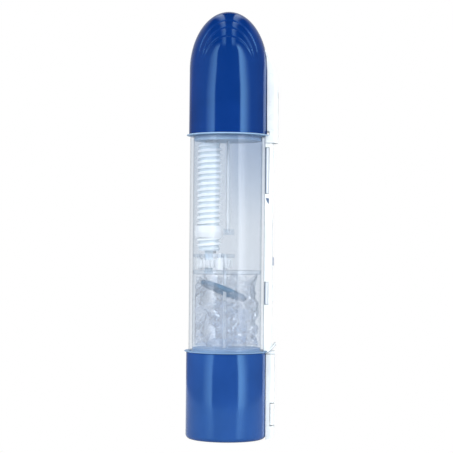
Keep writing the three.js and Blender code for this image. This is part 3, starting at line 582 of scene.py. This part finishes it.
def base_rim():
    """The thin pale rim that the barrel stands on."""
    low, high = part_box("base_cup")
    rim, bore, top = 20.4 * MM, 18 * MM, high.z
    bottom = high.z - RIM_HEIGHT + 0.02 * MM
    profile = [(bore, bottom), (19.6 * MM, bottom), (rim, bottom + 0.3 * MM), (rim, top), (bore, top),
               (bore, bottom)]
    points, faces = revolve(softened(profile, 0.12 * MM, 2), segments=200)
    return make("base_rim", points, faces, "housing", "blue_grey")


def collar_band(name, slot, look, grown, wall, under, over):
    """A band that runs round the spine's foot and sweeps up towards its front."""
    low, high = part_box("base_cup")
    front, half, corner = high.x + grown, 5.1 * MM + grown, 2.6 * MM
    plan = [(19.2 * MM, -half, 0, -1), (20.4 * MM, -half, 0, -1)]
    for start, cy in ((-90, corner - half), (0, half - corner)):
        for k in range(7):
            angle = math.radians(start + 15 * k)
            out = (math.cos(angle), math.sin(angle))
            plan.append((front - corner + corner * out[0], cy + corner * out[1], *out))
    plan += [(20.4 * MM, half, 0, 1), (19.2 * MM, half, 0, 1)]
    points = []
    for x, y, across, along in plan:
        sweep = high.z - 1.0 * MM + 4.2 * MM * min(1, max(0, (x - 18.6 * MM) / (5.3 * MM))) ** 1.6
        for inset, z in ((0, sweep + under), (0, sweep + over), (wall, sweep + over), (wall, sweep + under)):
            points.append((x - inset * across, y - inset * along, z))
    faces = [(0, 1, 2, 3), tuple(len(points) - 1 - k for k in range(4))]
    for i in range(len(plan) - 1):
        for k in range(4):
            n = (k + 1) % 4
            faces.append((4 * i + k, 4 * i + n, 4 * i + 4 + n, 4 * i + 4 + k))
    return make(name, points, faces, "housing", slot, look=look)


def spine_collar():
    """The pale plate and band round the spine's foot, with a fine dark strip under the band that is painted
    shadow.
    """
    low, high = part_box("base_cup")
    half = 5.1 * MM
    points, faces = box_form((18.9 * MM, -half + 0.4 * MM, low.z + 41.5 * MM),
                             (high.x - 0.6 * MM, half - 0.4 * MM, high.z))
    make("collar_plate", points, faces, "housing", "pale_shell")
    collar_band("collar_band", "pale_shell", "pale_shell", 0, 0.4 * MM, 0, 0.8 * MM)
    # Painted shadow: a thin dark strip under the pale band.
    collar_band("collar_shadow_line", "slate_soft", "dark_inlay_and_shadow_line", 0.04 * MM, 0.3 * MM, -0.22 * MM, 0.02 * MM)


# ---- barrel and drive ----

def barrel_tube():
    low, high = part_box("clear_barrel")
    outer, inner = high.x, high.x - 1.6 * MM
    profile = [(inner, low.z), (outer, low.z), (outer, high.z), (inner, high.z), (inner, low.z)]
    return turned("barrel_tube", profile, "clear_barrel", segments=160, radius=0.3 * MM,
                  look="barrel_plastic")


def lead_screw():
    """A right-hand thread with wide rounded crests, run out at both ends, on its journal."""
    low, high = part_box("lead_screw")
    gear_low, gear_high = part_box("screw_gear")
    x, y = (gear_low.x + gear_high.x) / 2, (gear_low.y + gear_high.y) / 2
    crest, root, pitch = 5.9 * MM, 4.8 * MM, 2.68 * MM
    start, end = 91.5 * MM, 143.6 * MM
    journal = 2 * MM
    columns, per_pitch = 72, 20
    rows = int((end - start) / pitch * per_pitch)
    points, first = [(x, y, low.z)], []

    def ring(radius_at, z):
        first.append(len(points))
        for k in range(columns):
            angle = 2 * math.pi * k / columns
            r = radius_at(angle)
            points.append((x + r * math.cos(angle), y + r * math.sin(angle), z))

    ring(lambda a: journal, low.z)
    ring(lambda a: journal, start)
    for row in range(rows + 1):
        z = start + (end - start) * row / rows
        runout = min(smooth_step((z - start) / pitch), smooth_step((end - z) / pitch))

        def thread(angle, z=z, runout=runout):
            phase = (z / pitch - angle / (2 * math.pi)) % 1.0
            rise = smooth_step((0.31 - abs(phase - 0.5)) / 0.13)
            return root + (crest - root) * rise * (0.25 + 0.75 * runout)

        ring(thread, z)
    ring(lambda a: journal, end)
    ring(lambda a: journal, high.z)
    points.append((x, y, high.z))
    faces = [(0, first[0] + (k + 1) % columns, first[0] + k) for k in range(columns)]
    for a, b in zip(first, first[1:]):
        for k in range(columns):
            n = (k + 1) % columns
            faces.append((a + k, a + n, b + n, b + k))
    top = len(points) - 1
    faces += [(first[-1] + k, first[-1] + (k + 1) % columns, top) for k in range(columns)]
    return make("lead_screw_thread", points, faces, "screw", "white_acetal", "lead_screw",
                look="thread_acetal")


def drive_nut():
    low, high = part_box("drive_nut")
    x, y = (low.x + high.x) / 2, (low.y + high.y) / 2
    outer, bore = (high.x - low.x) / 2, 6.15 * MM
    middle = (low.z + high.z) / 2
    profile = [(bore, low.z), (outer - 0.5 * MM, low.z), (outer, middle - 0.4 * MM),
               (outer, middle + 0.4 * MM), (outer - 0.5 * MM, high.z), (bore, high.z),
               (bore, low.z)]
    return turned("drive_nut_body", profile, "drive_nut", x, y, 72, 0.2 * MM)


def creases(seed):
    """Directions, offsets and sizes of the folds of a crushed film, coarse to fine."""
    rng = np.random.default_rng(seed)
    folds = []
    for size in (17.0, 11.5, 8.0, 5.6, 4.0, 2.9):
        for _ in range(2):
            direction = Vector(rng.normal(size=3)).normalized()
            folds.append((direction / (size * MM), rng.random(), 0.11 * size * MM))
    return folds


def crumple(place, folds):
    """The flat-sided folds at a place, as a depth in metres either way."""
    total = 0.0
    for direction, offset, depth in folds:
        total += depth * (4 * abs((direction.dot(place) + offset) % 1.0 - 0.5) - 1)
    return total


def film_wrap():
    """Clear film packed round the drive shaft in two loose crumpled layers, with a ragged top."""
    low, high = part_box("film_wrap")
    ring_low, ring_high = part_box("spare_ring")
    layers = (("film_outer", high.x - 0.4 * MM, 1.3 * MM, ring_high.z + 1 * MM, 3, ["film_wrap"]),
              ("film_inner", 0.62 * high.x, 2.4 * MM, high.z + 1 * MM, 17, []))
    around, up = 420, 130
    for name, radius, slack, top, seed, replaced in layers:
        folds = creases(seed)
        points, faces = [], []
        for i in range(up + 1):
            v = i / up
            for k in range(around):
                angle = 2 * math.pi * k / around
                place = Vector((radius * math.cos(angle), radius * math.sin(angle), v * (top - low.z)))
                warp = noise.noise_vector(place / (9 * MM) + Vector((seed, 0, 0)))
                fold = crumple(place + 1.6 * MM * warp, folds) * (1.15 - 0.4 * v)
                ragged = 5 * MM * noise.noise(Vector((2 * math.cos(angle), 2 * math.sin(angle), seed)))
                r = radius - max(0.0, slack - fold)
                z = low.z + 0.4 * MM + v * (top - low.z + ragged) + 1.2 * MM * warp.z * v
                a = angle + 0.06 * warp.x
                points.append((r * math.cos(a), r * math.sin(a), z))
        for i in range(up):
            for k in range(around):
                n = (k + 1) % around
                faces.append((i * around + k, i * around + n,
                              (i + 1) * around + n, (i + 1) * around + k))
        film = make(name, points, faces, "housing", "film", *replaced)
        film.data.set_sharp_from_angle(angle=math.radians(18))


def spare_ring():
    """The loose soft ring, slanted as its CAD solid is, with a flat land along its outside."""
    low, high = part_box("spare_ring")
    centre = (low + high) / 2
    tilt = Matrix.Rotation(math.radians(21), 4, "Y") @ Matrix.Rotation(math.radians(-7), 4, "X")
    profile = [(10.8 * MM + 1.3 * MM * math.cos(a) * (0.9 if math.cos(a) > 0.8 else 1),
                1.3 * MM * math.sin(a)) for a in (2 * math.pi * k / 20 for k in range(20))]
    points, faces = revolve([*profile, profile[0]], segments=120)
    placed = [centre + tilt @ Vector(p) for p in points]
    return make("spare_ring_soft", placed, faces, "housing", "silicone", "spare_ring")


def turned_inner_pieces():
    """Discs, tubes and screws that are plain turned forms in the CAD, with rounded corners."""
    for node in ("guide_rod", "piston_rod", "drive_shaft"):
        rod_like(node, node + "_ground")
    low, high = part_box("foot_pad")
    step = 0.35 * MM
    profile = [(0, low.z), (high.x - 2 * step, low.z), (high.x, low.z + step), (high.x, high.z),
               (0, high.z)]
    turned("foot_pad_soft", profile, "foot_pad", segments=120)
    low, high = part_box("battery_cell")
    radius, y = (high.x - low.x) / 2, (low.y + high.y) / 2
    profile = [(0, low.z), (radius, low.z), (radius, high.z - 0.8 * MM), (2.5 * MM, high.z - 0.8 * MM),
               (2.5 * MM, high.z), (0, high.z)]
    turned("battery_cell_case", profile, "battery_cell", 0, y, 72, 0.5 * MM)


def refined_pieces():
    done = {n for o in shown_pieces() for n in o.get("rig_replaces", [])}
    fine_edges = {"shaft_wheel": 0.06, "screw_gear": 0.06, "top_pinion": 0.06, "motor_pinion": 0.05,
                  "cap_spine": 0.5, "barrel_spine": 0.18, "base_spine": 0.4, "charge_flap": 0.4,
                  "aspirate_button": 0.5, "dispense_button": 0.5, "speed_knob": 0.35}
    for node in frame["nodes"]:
        if node not in done:
            refined(node, fine_edges.get(node, 0.12) * MM, 3 if node in fine_edges else 2)


def spine_trim():
    """A small generic arrow inlaid in the spine's flank, under the long button's seal."""
    low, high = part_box("aspirate_seal")
    spine_low, spine_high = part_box("barrel_spine")
    x0, x1 = low.x + 0.1 * MM, high.x + 0.4 * MM
    top = low.z - 2.2 * MM
    for side in (-1, 1):
        y = spine_high.y * side
        plan = [(x0, top), (x1, top - 0.3 * MM), (x1 - 0.3 * MM, top - 3.1 * MM),
                (x0 + 0.7 * MM, top - 1.9 * MM)]
        points = [(x, y + side * depth, z) for depth in (-0.2 * MM, 0.06 * MM) for x, z in plan]
        faces = [(0, 1, 2, 3), (7, 6, 5, 4), (0, 4, 5, 1), (1, 5, 6, 2), (2, 6, 7, 3), (3, 7, 4, 0)]
        make(f"flank_arrow_{'left' if side < 0 else 'right'}", points, faces, "housing", "slate_soft",
             look="dark_inlay_and_shadow_line")


# ---- stage, light and camera ----

def strip_ramp(tree, azimuth):
    """Brightness by azimuth from the camera: two tall soft boxes in front, and a dim room."""
    ramp = tree.nodes.new("ShaderNodeValToRGB")
    stops = ((-180, 0.6), (-150, 0.4), (-120, 0.15), (-100, 0.2), (-62, 0.3), (-52, 1.3), (-42, 2.2),
             (-36.5, 2.2), (-34.5, 0.05), (30, 0.05), (32, 3.2), (38, 3.5), (46, 2.4), (54, 0.9),
             (62, 0.25), (100, 0.15), (120, 0.12), (150, 0.4), (180, 0.6))
    brightest = 4.0
    elements = ramp.color_ramp.elements
    while len(elements) > 1:
        elements.remove(elements[0])
    for i, (degrees, level) in enumerate(stops):
        place = (degrees + 180) / 360
        element = elements[0] if i == 0 else elements.new(place)
        element.position = place
        element.color = (level / brightest, level / brightest, level / brightest, 1)
    tree.links.new(azimuth, ramp.inputs["Fac"])
    scale = tree.nodes.new("ShaderNodeMath")
    scale.operation = "MULTIPLY"
    scale.inputs[1].default_value = brightest
    tree.links.new(ramp.outputs["Color"], scale.inputs[0])
    return scale.outputs["Value"]


def surroundings():
    """The room as reflections see it. The camera sees plain white."""
    world = bpy.data.worlds.new("studio")
    bpy.context.scene.world = world
    world.use_nodes = True
    tree = world.node_tree
    background = tree.nodes["Background"]
    background.inputs["Color"].default_value = (1, 1, 1, 1)
    place = tree.nodes.new("ShaderNodeTexCoord")
    split = tree.nodes.new("ShaderNodeSeparateXYZ")
    tree.links.new(place.outputs["Generated"], split.inputs["Vector"])
    towards = operated(tree, "MULTIPLY", split.outputs["Y"], -1.0)
    angle = operated(tree, "ARCTAN2", split.outputs["X"], towards)
    spread = operated(tree, "MULTIPLY_ADD", stepped(tree, split.outputs["Z"], 0.05, 0.14), 0.12, 0.88)
    turn = operated(tree, "MULTIPLY_ADD", operated(tree, "MULTIPLY", angle, spread),
                    1 / (2 * math.pi), 0.5)
    around = strip_ramp(tree, turn)
    high = stepped(tree, split.outputs["Z"], 0.55, 0.75)
    sides = operated(tree, "MULTIPLY", around, operated(tree, "SUBTRACT", 1.0, high))
    across = operated(tree, "ABSOLUTE", split.outputs["X"])
    inner = stepped(tree, across, 0.15, 0.17)
    outer = operated(tree, "SUBTRACT", 1.0, stepped(tree, across, 0.24, 0.42))
    overhead = operated(tree, "MULTIPLY", operated(tree, "MULTIPLY", inner, outer), high)
    level = operated(tree, "MULTIPLY_ADD", overhead, 1.3, sides)
    path = tree.nodes.new("ShaderNodeLightPath")
    shown = tree.nodes.new("ShaderNodeMix")
    shown.data_type = "FLOAT"
    tree.links.new(path.outputs["Is Camera Ray"], shown.inputs[0])
    tree.links.new(level, shown.inputs[2])
    shown.inputs[3].default_value = 1.0
    tree.links.new(shown.outputs[0], background.inputs["Strength"])


def table():
    """A pale round table top that reads as white."""
    bpy.ops.mesh.primitive_circle_add(vertices=128, radius=0.42, fill_type="NGON",
                                      location=(0, 0, 0))
    floor = bpy.context.object
    floor.name = "floor"
    material, tree, shader, output = nodes_of("pale_floor")
    shader.inputs["Base Color"].default_value = (0.6, 0.62, 0.64, 1)
    shader.inputs["Roughness"].default_value = 0.3
    shader.inputs["Emission Color"].default_value = (1, 1, 1, 1)
    shader.inputs["Emission Strength"].default_value = 0.12
    white = tree.nodes.new("ShaderNodeEmission")
    path = tree.nodes.new("ShaderNodeLightPath")
    mix = tree.nodes.new("ShaderNodeMixShader")
    tree.links.new(path.outputs["Is Camera Ray"], mix.inputs["Fac"])
    tree.links.new(shader.outputs["BSDF"], mix.inputs[1])
    tree.links.new(white.outputs["Emission"], mix.inputs[2])
    tree.links.new(mix.outputs["Shader"], output.inputs["Surface"])
    floor.data.materials.append(material)
    floor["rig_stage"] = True


def fill_lights():
    """Broad lamps that light matt surfaces evenly and are not seen in glossy ones."""
    lo, hi = CAD_BOX
    middle = Vector((0, 0, (lo.z + hi.z) / 2))
    for name, azimuth, height, power in (("fill_left", -30, 24, 7.4), ("fill_right", 34, 24, 6.6),
                                         ("fill_far_left", -82, 12, 6.2),
                                         ("fill_far_right", 84, 12, 4.6), ("fill_back", 180, 30, 6.0)):
        angle, up = math.radians(azimuth), math.radians(height)
        back = Vector((math.sin(angle) * math.cos(up), -math.cos(angle) * math.cos(up), math.sin(up)))
        light = bpy.data.lights.new(name, "AREA")
        light.shape = "SQUARE"
        light.size, light.energy = 0.9, power
        lamp = bpy.data.objects.new(name, light)
        lamp.location = middle + back * 1.2
        lamp.rotation_euler = back.to_track_quat("Z", "Y").to_euler()
        lamp.visible_glossy = False
        bpy.context.scene.collection.objects.link(lamp)


def camera():
    data = bpy.data.cameras.new("camera")
    data.sensor_width = 36
    data.lens = 122.3
    eye = bpy.data.objects.new("camera", data)
    bpy.context.scene.collection.objects.link(eye)
    eye.location = (-0.42 * MM, -750 * MM, 92.8 * MM)
    target = Vector((-0.42 * MM, 0, 103.3 * MM))
    aim = (target - eye.location).to_track_quat("-Z", "Y").to_matrix().to_4x4()
    roll = Matrix.Rotation(math.radians(0.5), 4, "Z")
    eye.matrix_world = Matrix.Translation(eye.location) @ aim @ roll
    bpy.context.scene.camera = eye


bpy.context.scene.view_settings.view_transform = "Standard"
bpy.context.scene.cycles.transparent_max_bounces = 24
camera()
surroundings()
table()
fill_lights()
cap_shell()
cap_lip()
base_shell()
base_rim()
spine_collar()
barrel_tube()
lead_screw()
drive_nut()
film_wrap()
spare_ring()
turned_inner_pieces()
spine_trim()
refined_pieces()
